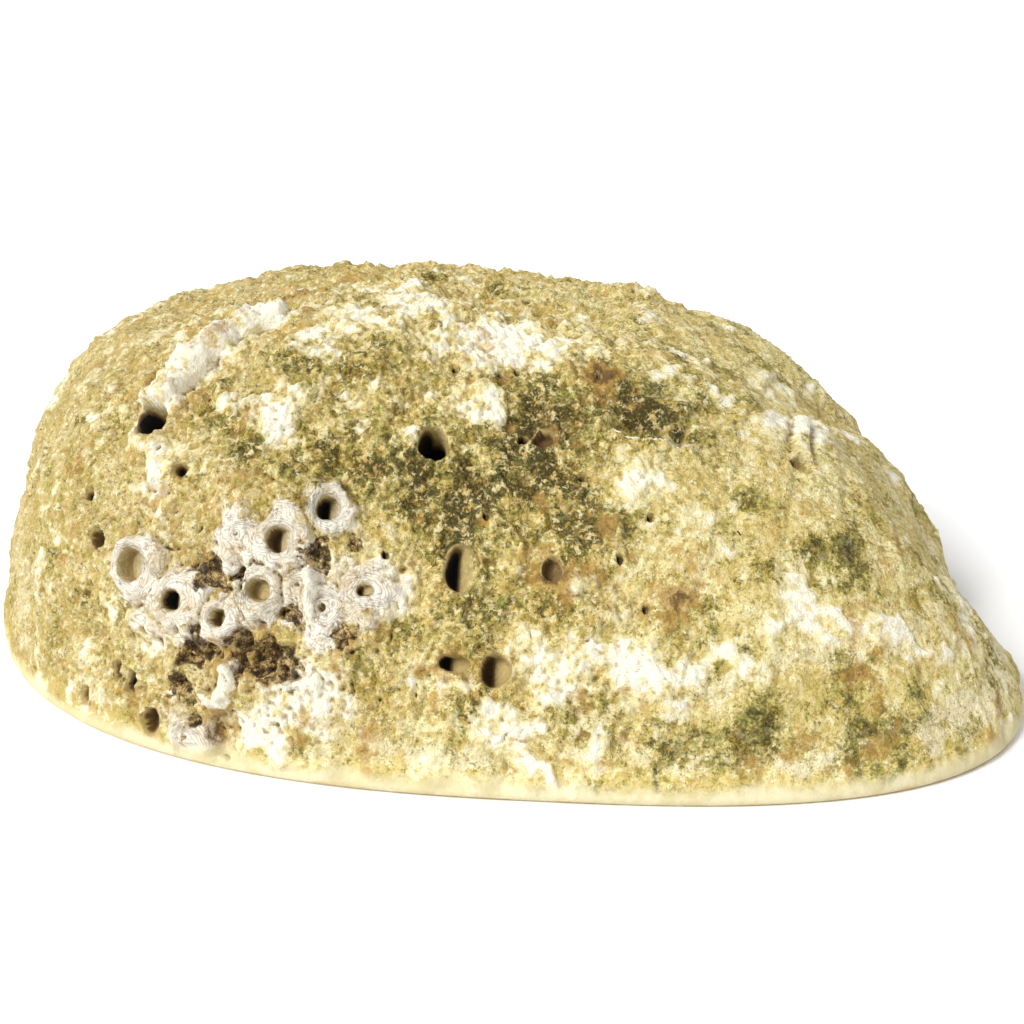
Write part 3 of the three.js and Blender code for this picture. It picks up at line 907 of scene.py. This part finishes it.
def bore_painted_shade(points):
    """Painted shade in each bore, 0 outside the bores: it grows with how far below the mouth a point
    lies, in mm, is strongest on the front side and stops at the bore's darkest.
    """
    depth = np.zeros(len(points), np.float32)
    for bore in ALL_BORES:
        place = Place(bore.at)
        chosen, across, along = place.near(points, 16)
        radius = np.hypot(across / bore.across, along / bore.along)
        height = (points[chosen] - place.centre) @ place.normal
        round_mouth = (radius > 1.0) & (radius < 1.5)
        mouth = np.percentile(height[round_mouth], 60) if round_mouth.any() else 0.0
        inside = 1 - smoothstep(radius, 1.0, 1.2)
        # Painted shade: the side of each bore towards the front end is made the darkest, where the shade
        # of its wall falls.
        front_side_shade = bore.dark * (3.4 - 2.9 * smoothstep(across / bore.across, -0.95, 0.0))
        dark = np.clip(front_side_shade * np.clip(mouth - height, 0, 4), 0, bore.darkest)
        depth[chosen] = np.maximum(depth[chosen], inside * dark)
    return depth


def gap_share(points):
    """1 in the dirty gaps between the tubes."""
    share = np.zeros(len(points), np.float32)
    for at, radius, _ in GAPS:
        away = np.sqrt(((points - Place(at).centre) ** 2).sum(axis=1)) / radius
        away += 0.5 * layered(points, 2.6, 2, 51)
        share = np.maximum(share, 1 - smoothstep(away, 0.3, 1.5))
    return share


def lip_share_with_shelf_highlight(points):
    """1 on the crests of the curved lips, which are white tube shell, and on the thin edge of the shelf,
    which is a painted highlight of its lit edge.
    """
    chosen, edge, ends = shelf_frame(points)
    share = np.clip(lip_relief(points), 0, 1)
    # Painted highlight along the shelf's thin near edge.
    share[chosen] = np.maximum(share[chosen], ends * gauss(edge + 0.35, 0.22))
    return share


def ridge_share(points):
    """1 on the backs of the tubes that lie along the surface."""
    share = np.zeros(len(points), np.float32)
    for route, radius in RIDGES:
        distance, _ = ridge_distance(points, route)
        share = np.maximum(share, 1 - smoothstep(distance / radius, 0.8, 1.5))
    return share


def describe_outside(mesh):
    """Stores on the mesh what the crust's material needs to know about each of its points."""
    points = vertex_points(mesh)
    share, _ = plan_share(points)
    reach, _ = tube_field(points)
    facts = {
        "chalk": cover_share(points, "chalk", 101) + 0.45 * ridge_share(points),
        "green": cover_share(points, "green", 301),
        "stain": cover_share(points, "stain", 401),
        "crusty": crusty_share(points),
        "cluster": cluster_share(points),
        # the bore attribute holds the painted shade in the bores
        "tube_reach": np.minimum(reach, 3),
        "bore": bore_painted_shade(points),
        "gap": gap_share(points),
        "lip_and_shelf_highlight": lip_share_with_shelf_highlight(points),
        "hollow_fine": hollowness(mesh, 2),
        "hollow_wide": hollowness(mesh, 14),
        "spiral": share * FLANK,
        "height": points[:, 2],
    }
    for name, values in facts.items():
        layer = mesh.attributes.new(name, "FLOAT", "POINT")
        layer.data.foreach_set("value", np.ascontiguousarray(values, np.float32))


# ------------------------------------------------------------------ materials
def srgb(red, green, blue):
    """A display colour, 0 to 255, as the linear colour that a shader wants."""
    parts = [part / 255 for part in (red, green, blue)]
    linear = [p / 12.92 if p <= 0.04045 else ((p + 0.055) / 1.055) ** 2.4 for p in parts]
    return (*linear, 1.0)


class Nodes:
    """Short names for the few kinds of node that the materials use."""

    def __init__(self, name):
        self.material = bpy.data.materials.new(name)
        self.material.use_nodes = True
        self.tree = self.material.node_tree
        self.shader = self.tree.nodes["Principled BSDF"]
        self.place = self.add("TexCoord").outputs["Object"]

    def add(self, kind, **settings):
        node = self.tree.nodes.new("ShaderNode" + kind)
        for name, value in settings.items():
            setattr(node, name, value)
        return node

    def feed(self, socket, value):
        if isinstance(value, bpy.types.NodeSocket):
            self.tree.links.new(value, socket)
        else:
            socket.default_value = value

    def fact(self, name):
        return self.add("Attribute", attribute_name=name).outputs["Fac"]

    def noise(self, size, detail=3.0, roughness=0.5, distortion=0.0):
        """Noise in 0..1 with features of this size in mm."""
        node = self.add("TexNoise")
        self.feed(node.inputs["Vector"], self.place)
        self.feed(node.inputs["Scale"], 1 / (size * MM))
        self.feed(node.inputs["Detail"], detail)
        self.feed(node.inputs["Roughness"], roughness)
        self.feed(node.inputs["Distortion"], distortion)
        return node.outputs["Fac"]

    def along_shell(self):
        """How far towards the spire a point lies, in mm from the middle of the frame."""
        node = self.add("SeparateXYZ")
        self.feed(node.inputs[0], self.place)
        return self.math("DIVIDE", node.outputs["X"], MM)

    def math(self, operation, first, second=0.0):
        node = self.add("Math", operation=operation)
        self.feed(node.inputs[0], first)
        self.feed(node.inputs[1], second)
        return node.outputs[0]

    def total(self, *terms):
        """The sum of (socket, factor) pairs."""
        result = None
        for socket, factor in terms:
            term = self.math("MULTIPLY", socket, factor)
            result = term if result is None else self.math("ADD", result, term)
        return result

    def step(self, value, low, high, to_low=0.0, to_high=1.0):
        node = self.add("MapRange", interpolation_type="SMOOTHSTEP")
        for name, part in (("Value", value), ("From Min", low), ("From Max", high),
                           ("To Min", to_low), ("To Max", to_high)):
            self.feed(node.inputs[name], part)
        return node.outputs["Result"]

    def mix(self, share, first, second):
        node = self.add("Mix", data_type="RGBA")
        self.feed(node.inputs[0], share)
        self.feed(node.inputs[6], first)
        self.feed(node.inputs[7], second)
        return node.outputs[2]

    def bump(self, height, distance, normal=None):
        node = self.add("Bump")
        self.feed(node.inputs["Height"], height)
        self.feed(node.inputs["Distance"], distance * MM)
        self.feed(node.inputs["Strength"], 1.0)
        if normal is not None:
            self.feed(node.inputs["Normal"], normal)
        return node.outputs["Normal"]


def bare_shell_color(n):
    """Ochre and cream, cloudy, with fine streaks; the front end is duller than the hind flank."""
    cloud = n.noise(7, 4, 0.6)
    fine = n.noise(1.1, 5, 0.7)
    dull = n.mix(n.step(cloud, 0.35, 0.65), srgb(186, 164, 106), srgb(216, 200, 148))
    bright = n.mix(n.step(cloud, 0.35, 0.65), srgb(214, 192, 120), srgb(236, 224, 166))
    front = n.step(n.along_shell(), -4.0, -34.0)
    color = n.mix(front, bright, dull)
    crusty = n.fact("crusty")
    patches = n.math("MULTIPLY", n.step(n.noise(4.5, 5, 0.75), 0.5, 0.6, 0.0, 0.8), crusty)
    color = n.mix(patches, color, srgb(194, 160, 84))
    patches = n.math("MULTIPLY", n.step(n.noise(3.6, 5, 0.75, 0.6), 0.52, 0.6, 0.0, 0.8), crusty)
    color = n.mix(patches, color, srgb(176, 170, 92))
    color = n.mix(n.step(fine, 0.5, 0.62, 0.0, 0.7), color, srgb(180, 150, 78))
    color = n.mix(n.step(fine, 0.47, 0.36, 0.0, 0.8), color, srgb(244, 236, 196))
    cracks = n.total((n.noise(0.9, 5, 0.85), 1.0), (n.noise(6, 2), 0.2), (crusty, 0.04))
    return n.mix(n.step(cracks, 0.68, 0.74, 0.0, 0.75), color, srgb(104, 82, 38))


def add_bands(n, color):
    """White and olive bands that run along the margin, low on the hind flank."""
    across = n.total((n.fact("spiral"), 1.0), (n.noise(9, 3, 0.6), 7.0), (n.noise(2, 3, 0.6), 2.0))
    wave = n.math("SINE", n.math("MULTIPLY", across, 2 * math.pi / 5.2))
    low = n.step(n.fact("height"), 22.0, 12.0)
    smooth = n.step(n.fact("crusty"), 0.8, 0.4)
    there = n.math("MULTIPLY", low, smooth)
    color = n.mix(n.math("MULTIPLY", n.step(wave, 0.3, 0.9, 0.0, 0.6), there), color,
                  srgb(240, 232, 200))
    return n.mix(n.math("MULTIPLY", n.step(wave, -0.4, -0.95, 0.0, 0.5), there), color,
                 srgb(196, 176, 92))


def add_green(n, color, speck, grit):
    """Granular dark growth: olive at its edges, nearly black in its middle, with pale grains."""
    # The hollow_fine term makes the growth darker in fine hollows: painted shade.
    amount = n.total((n.fact("green"), 0.9), (speck, 2.4), (grit, 1.5), (n.fact("hollow_fine"), 2.0))
    hue = n.noise(3.0, 4, 0.7, 0.5)
    olive = n.mix(n.step(hue, 0.46, 0.54), srgb(146, 126, 42), srgb(132, 132, 66))
    deep = n.mix(n.step(hue, 0.44, 0.56), srgb(92, 76, 20), srgb(82, 82, 34))
    color = n.mix(n.step(amount, 2.0, 2.35, 0.0, 0.75), color, srgb(184, 168, 84))
    color = n.mix(n.step(amount, 2.3, 2.6, 0.0, 0.85), color, olive)
    color = n.mix(n.step(amount, 2.65, 2.95, 0.0, 0.85), color, deep)
    flecks = n.total((n.noise(0.7, 5, 0.8), 1.0), (n.fact("green"), 0.14))
    color = n.mix(n.step(flecks, 0.57, 0.64, 0.0, 0.75), color, srgb(50, 42, 16))
    color = n.mix(n.step(n.noise(0.5, 5, 0.85), 0.54, 0.6, 0.0, 0.8), color, srgb(158, 138, 66))
    grains = n.step(n.noise(1.3, 5, 0.75), 0.51, 0.58, 0.0, 0.85)
    gold = n.mix(n.step(n.noise(1.0, 3, 0.7, 0.7), 0.42, 0.58), srgb(204, 172, 92), srgb(234, 222, 170))
    return n.mix(n.math("MULTIPLY", grains, n.fact("crusty")), color, gold)


def add_stain(n, color, speck, grit):
    amount = n.total((n.fact("stain"), 1.0), (speck, 1.3), (grit, 0.8))
    color = n.mix(n.step(amount, 1.3, 1.8, 0.0, 0.75), color, srgb(176, 138, 70))
    return n.mix(n.step(amount, 1.75, 2.2, 0.0, 0.8), color, srgb(84, 58, 28))


def add_chalk(n, color, speck, grit):
    """White patches with ragged edges."""
    amount = n.total((n.fact("chalk"), 1.0), (speck, 2.3), (grit, 0.6))
    color = n.mix(n.step(amount, 1.66, 1.9, 0.0, 0.8), color, srgb(234, 222, 174))
    return n.mix(n.step(amount, 1.95, 2.2, 0.0, 0.92), color, srgb(246, 241, 222))


def tube_layers(n):
    """Thin layers of the worm tubes: 0 in the line between two of them, 1 on the layer."""
    drift = n.total((n.fact("tube_reach"), 6.5), (n.noise(3.2, 2, 0.5), 2.0), (n.noise(0.9, 2), 0.3))
    return n.math("FRACT", drift)


def add_tubes(n, color, layers):
    """Warm white walls with fine lines, dirty where crumbs stick to them."""
    edge = n.total((n.fact("tube_reach"), 1.0), (n.noise(2.4, 5, 0.7), 2.0), (n.fact("cluster"), -0.35))
    there = n.step(edge, 2.1, 1.6)
    wall = n.mix(n.step(n.noise(3.5, 3, 0.6), 0.4, 0.65), srgb(248, 242, 227), srgb(229, 216, 190))
    wall = n.mix(n.step(layers, 0.4, 0.02, 0.0, 0.62), wall, srgb(166, 143, 104))
    wall = n.mix(n.step(n.noise(1.8, 5, 0.78), 0.57, 0.64, 0.0, 0.75), wall, srgb(182, 154, 94))
    return n.mix(there, color, wall)


def add_hollow_shade_and_crumbs(n, color, speck, grit):
    """Painted shade in the hollows of the crust, darker the deeper they lie, and dark crumbs in the gaps
    between the tubes, which also spread into fine hollows as painted shade.
    """
    # Painted shade: the further a point lies below its surroundings, the darker it is made.
    deep = n.total((n.fact("hollow_wide"), 0.9), (n.fact("hollow_fine"), 2.2), (grit, 0.8),
                   (speck, 0.5), (n.fact("cluster"), 0.2))
    color = n.mix(n.step(deep, 0.85, 1.25, 0.0, 0.6), color, srgb(158, 132, 72))
    color = n.mix(n.step(deep, 1.3, 1.75, 0.0, 0.8), color, srgb(70, 52, 26))
    crumb = n.noise(1.1, 5, 0.8)
    crumbs = n.mix(n.step(crumb, 0.4, 0.49), srgb(206, 182, 124), srgb(124, 92, 46))
    crumbs = n.mix(n.step(crumb, 0.48, 0.55), crumbs, srgb(40, 27, 14))
    # The crumbs also gather where hollow_fine is high, which adds painted shade in fine hollows.
    gap = n.total((n.fact("gap"), 1.0), (n.noise(2.0, 5, 0.75), 1.4), (n.fact("hollow_fine"), 0.6))
    return n.mix(n.step(gap, 1.1, 1.4, 0.0, 0.92), color, crumbs)


def add_lips_edge_highlight_and_rim(n, color, speck):
    """The white crests of broken tubes with a painted highlight on the shelf's thin edge, and the smooth
    cream band above the margin.
    """
    # The lip mask also holds the shelf's edge, which is painted bright as a painted highlight.
    crest = n.step(n.total((n.fact("lip_and_shelf_highlight"), 1.0), (speck, 1.2)), 1.0, 1.35, 0.0, 0.9)
    color = n.mix(crest, color, srgb(242, 236, 216))
    height = n.total((n.fact("height"), 1.0), (n.noise(6, 3, 0.6), 2.6))
    rim = n.mix(n.step(n.noise(4, 5, 0.7), 0.42, 0.6), srgb(212, 201, 158), srgb(226, 217, 180))
    color = n.mix(n.step(height, 4.6, 2.7, 0.0, 0.92), color, rim)
    return n.mix(n.step(height, 2.0, 1.3, 0.0, 0.5), color, srgb(196, 158, 92))


def add_bore_walls_and_shade(n, color, grit):
    """Tan walls, the bores' own colour, then painted shade: brown and nearly black towards the bottom and
    on the front side.
    """
    depth = n.total((n.fact("bore"), 1.0), (grit, 0.5))
    color = n.mix(n.step(depth, 0.5, 1.2, 0.0, 0.85), color, srgb(192, 170, 112))
    # Painted shade: brown and then nearly black, deeper in the bore and on its front side.
    color = n.mix(n.step(depth, 1.4, 3.0, 0.0, 0.9), color, srgb(98, 70, 38))
    return n.mix(n.step(depth, 3.0, 4.6), color, srgb(10, 7, 4))


def crust_material():
    n = Nodes("crust")
    speck = n.noise(1.5, 5, 0.68)
    grit = n.noise(0.38, 3, 0.6)
    layers = tube_layers(n)
    color = bare_shell_color(n)
    color = add_bands(n, color)
    color = add_green(n, color, speck, grit)
    color = add_chalk(n, color, n.noise(1.7, 5, 0.68, 0.4), grit)
    color = add_stain(n, color, speck, grit)
    color = add_tubes(n, color, layers)
    color = add_hollow_shade_and_crumbs(n, color, speck, grit)
    color = add_lips_edge_highlight_and_rim(n, color, speck)
    color = add_bore_walls_and_shade(n, color, grit)
    n.feed(n.shader.inputs["Base Color"], color)
    n.feed(n.shader.inputs["Roughness"], n.step(speck, 0.3, 0.7, 0.72, 0.95))
    n.shader.inputs["Specular IOR Level"].default_value = 0.35
    rough = n.step(n.fact("height"), 2.5, 5.5, 0.25, 1.0)
    grains = n.math("MULTIPLY", n.total((grit, 0.5), (speck, 0.8), (n.noise(0.16, 2), 0.25)), rough)
    in_tube = n.step(n.fact("tube_reach"), 1.3, 0.9)
    normal = n.bump(grains, 0.55)
    normal = n.bump(n.math("MULTIPLY", layers, in_tube), 0.16, normal)
    n.feed(n.shader.inputs["Normal"], normal)
    return n.material


def nacre_material():
    """Mother of pearl: silver with soft pink and green zones that follow its layers."""
    n = Nodes("nacre")
    zones = n.noise(14, 4, 0.55, 1.6)
    fine = n.noise(2.4, 5, 0.6, 1.0)
    color = n.mix(n.step(zones, 0.42, 0.5), srgb(226, 222, 214), srgb(176, 206, 190))
    color = n.mix(n.step(zones, 0.5, 0.58), color, srgb(222, 190, 196))
    color = n.mix(n.step(zones, 0.6, 0.7), color, srgb(206, 214, 232))
    color = n.mix(n.step(fine, 0.5, 0.75, 0.0, 0.6), color, srgb(240, 236, 226))
    color = n.mix(n.step(n.noise(5, 5, 0.7), 0.6, 0.72, 0.0, 0.6), color, srgb(196, 172, 120))
    n.feed(n.shader.inputs["Base Color"], color)
    n.feed(n.shader.inputs["Roughness"], n.step(fine, 0.3, 0.7, 0.16, 0.38))
    n.shader.inputs["Coat Weight"].default_value = 0.5
    n.shader.inputs["Coat Roughness"].default_value = 0.12
    n.feed(n.shader.inputs["Normal"], n.bump(n.total((fine, 1.0), (n.noise(0.6, 3), 0.3)), 0.12))
    return n.material


# ------------------------------------------------------------------ camera, light and floor
AZIMUTH, ELEVATION = 4.8, 22.0
DISTANCE = 237.0
FOCAL = 1.5879  # focal length as a share of the picture's width
TARGET_RIGHT, TARGET_UP = 4.3, 17.3
STUDIO_LIGHT = 0.62
SUN_LIGHT = 3.0
SUN_SIZE = 25  # degrees across, for a soft shadow
SUN_DIRECTION = (0.52, 0.5, -0.66)
FLOOR_SIZE = 6  # m


def make_camera():
    azimuth, elevation = math.radians(AZIMUTH), math.radians(ELEVATION)
    back = Vector((
        math.sin(azimuth) * math.cos(elevation),
        -math.cos(azimuth) * math.cos(elevation),
        math.sin(elevation),
    ))
    right = Vector((math.cos(azimuth), math.sin(azimuth), 0))
    data = bpy.data.cameras.new("camera")
    data.sensor_width = 36.0
    data.lens = FOCAL * data.sensor_width
    data.clip_start, data.clip_end = 0.005, 20.0
    camera = bpy.data.objects.new("camera", data)
    bpy.context.scene.collection.objects.link(camera)
    target = right * TARGET_RIGHT + Vector((0, 0, TARGET_UP)) - Vector(MIDDLE)
    camera.location = (target + back * DISTANCE) * MM
    camera.rotation_euler = (-back).to_track_quat("-Z", "Y").to_euler()
    bpy.context.scene.camera = camera


def make_stage():
    bpy.ops.mesh.primitive_plane_add(size=FLOOR_SIZE)
    floor = bpy.context.object
    floor.name = "floor"
    material = bpy.data.materials.new("floor")
    material.use_nodes = True
    shader = material.node_tree.nodes["Principled BSDF"]
    shader.inputs["Base Color"].default_value = (0.96, 0.96, 0.96, 1)
    shader.inputs["Roughness"].default_value = 0.9
    floor.data.materials.append(material)
    world = bpy.data.worlds.new("studio")
    bpy.context.scene.world = world
    world.use_nodes = True
    background = world.node_tree.nodes["Background"]
    background.inputs["Color"].default_value = (1, 1, 1, 1)
    background.inputs["Strength"].default_value = STUDIO_LIGHT
    key_data = bpy.data.lights.new("key", "SUN")
    key_data.energy = SUN_LIGHT
    key_data.angle = math.radians(SUN_SIZE)
    key = bpy.data.objects.new("key", key_data)
    bpy.context.scene.collection.objects.link(key)
    key.rotation_euler = Vector(SUN_DIRECTION).to_track_quat("-Z", "Y").to_euler()
    bpy.context.scene.view_settings.view_transform = "Standard"


# ------------------------------------------------------------------ put together
make_camera()
make_stage()
for piece in make_shell(crust_material(), nacre_material()):
    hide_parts("shell")
    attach(piece, "root")
